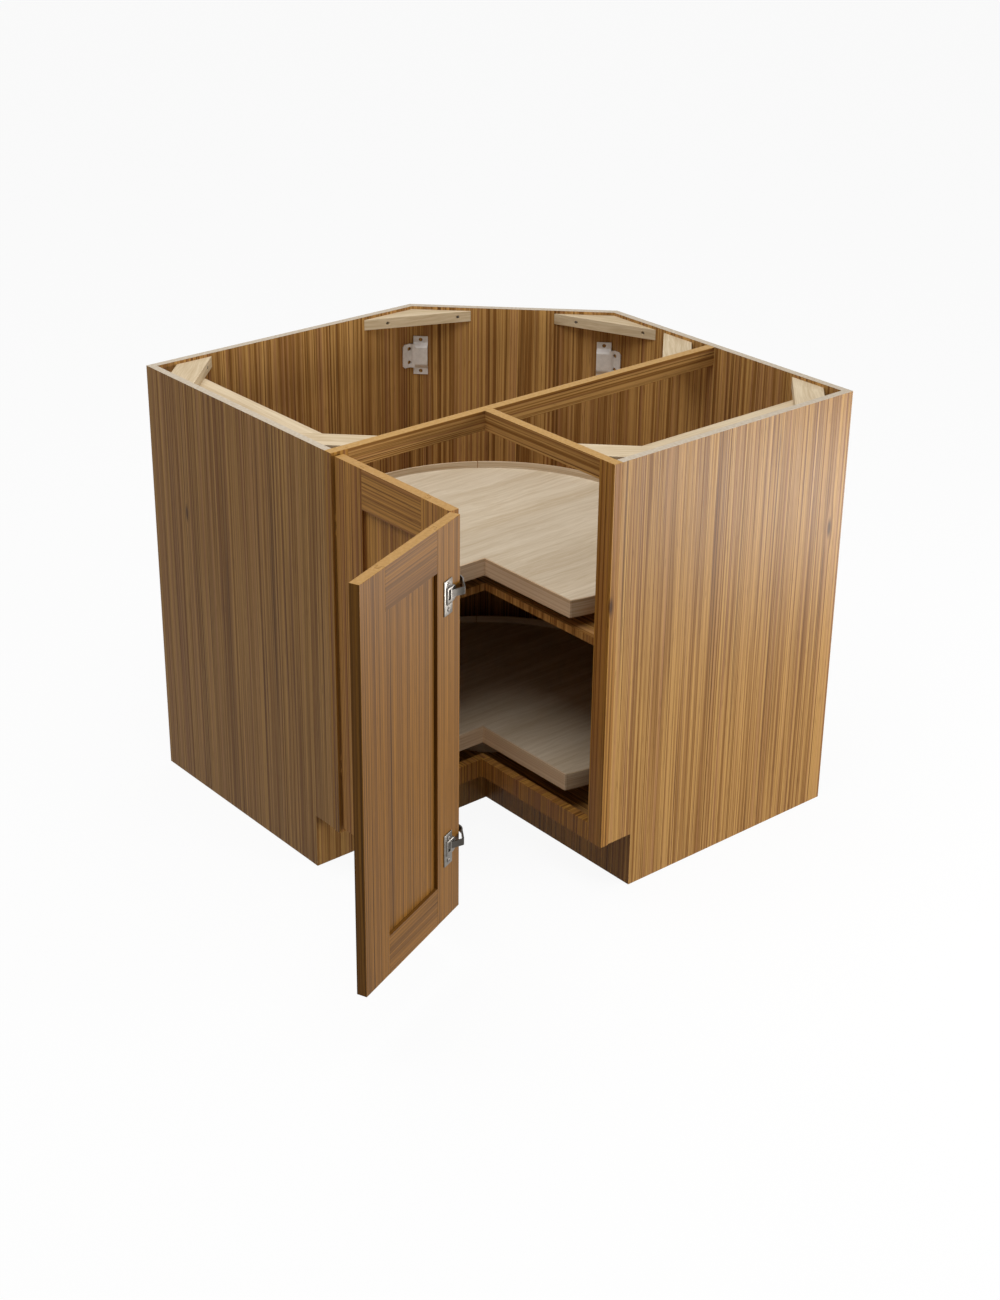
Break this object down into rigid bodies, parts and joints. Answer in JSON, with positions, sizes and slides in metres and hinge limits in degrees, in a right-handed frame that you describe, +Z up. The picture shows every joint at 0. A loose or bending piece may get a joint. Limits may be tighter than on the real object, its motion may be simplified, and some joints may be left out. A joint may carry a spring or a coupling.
{
  "type": "corner carousel cabinet",
  "caption": "Five-sided base cabinet for a room corner, with pie-cut turning trays and a two-leaf folding door that opens its square front notch.",
  "frame": {"origin": "under the middle of the diagonal back panel's bottom edge, on the floor", "axes": "+Z up; the left wall is on the -X side and the right wall on the +Y side; the square front notch faces +X and -Y"},
  "size_m": [1.0717, 1.246, 0.8763],
  "materials": {
    "end_panel_veneer": "satin",
    "back_panel_ply": "satin",
    "pale_ply": "matt",
    "frame_hardwood": "satin",
    "door_wood": "satin",
    "rim_wood": "satin",
    "zinc_steel": "zinc plated",
    "nickel_steel": "satin nickel",
    "ball_steel": "polished"
  },
  "bodies": {
    "cabinet": {"left_end_panel": "end_panel_veneer", "right_end_panel": "end_panel_veneer", "left_back_panel": "back_panel_ply", "right_back_panel": "back_panel_ply", "diagonal_back_panel": "back_panel_ply", "left_toe_board": "back_panel_ply", "right_toe_board": "back_panel_ply", "cabinet_floor": "back_panel_ply", "middle_shelf": "back_panel_ply", "lower_tray_riser": "pale_ply", "left_stretcher": "pale_ply", "right_stretcher": "pale_ply", "rear_left_block": "pale_ply", "rear_right_block": "pale_ply", "front_left_block": "pale_ply", "front_right_block": "pale_ply", "cross_rail_block": "pale_ply", "diagonal_left_block": "pale_ply", "diagonal_right_block": "pale_ply", "left_stile": "frame_hardwood", "right_stile": "frame_hardwood", "cross_top_rail": "frame_hardwood", "right_top_rail": "frame_hardwood", "left_bottom_rail": "frame_hardwood", "right_bottom_rail": "frame_hardwood", "upper_bearing_bottom_race": "zinc_steel", "upper_bearing_balls": "ball_steel", "upper_stile_hinge_arm": "nickel_steel", "lower_bearing_bottom_race": "zinc_steel", "lower_bearing_balls": "ball_steel", "lower_stile_hinge_arm": "nickel_steel", "left_panel_bracket": "zinc_steel", "right_panel_bracket": "zinc_steel"},
    "hinge_leaf": {"hinge_leaf_hinge_stile": "door_wood", "hinge_leaf_free_stile": "door_wood", "hinge_leaf_top_rail": "door_wood", "hinge_leaf_bottom_rail": "door_wood", "hinge_leaf_panel": "door_wood", "upper_stile_hinge_cup": "nickel_steel", "upper_fold_hinge_cup": "nickel_steel", "lower_stile_hinge_cup": "nickel_steel", "lower_fold_hinge_cup": "nickel_steel"},
    "fold_leaf": {"fold_leaf_hinge_stile": "door_wood", "fold_leaf_free_stile": "door_wood", "fold_leaf_top_rail": "door_wood", "fold_leaf_bottom_rail": "door_wood", "fold_leaf_panel": "door_wood", "upper_fold_hinge_arm": "nickel_steel", "lower_fold_hinge_arm": "nickel_steel"},
    "upper_tray": {"upper_tray_deck": "pale_ply", "upper_tray_rim": "rim_wood", "upper_tray_left_fascia": "rim_wood", "upper_tray_right_fascia": "rim_wood", "upper_bearing_top_race": "zinc_steel"},
    "lower_tray": {"lower_tray_deck": "pale_ply", "lower_tray_rim": "rim_wood", "lower_tray_left_fascia": "rim_wood", "lower_tray_right_fascia": "rim_wood", "lower_bearing_top_race": "zinc_steel"}
  },
  "joints": [
    {"name": "door_swing", "type": "hinge", "parent": "cabinet", "child": "hinge_leaf", "pos_m": [0.4612, -0.7819, 0], "axis": [0, 0, 1], "range_deg": [-60, 90]},
    {"name": "door_fold", "type": "hinge", "parent": "hinge_leaf", "child": "fold_leaf", "pos_m": [0.77205, -0.79175, 0], "axis": [0, 0, 1], "range_deg": [-22.41, 15]},
    {"name": "upper_tray_spin", "type": "hinge", "parent": "cabinet", "child": "upper_tray", "pos_m": [0.3282, -0.3282, 0], "axis": [0, 0, 1], "range_deg": [-360, 360]},
    {"name": "lower_tray_spin", "type": "hinge", "parent": "cabinet", "child": "lower_tray", "pos_m": [0.3282, -0.3282, 0], "axis": [0, 0, 1], "range_deg": [-360, 360]}
  ],
  "couplings": [
    {"joint": "door_fold", "follows": "door_swing", "ratio": -0.24889}
  ]
}
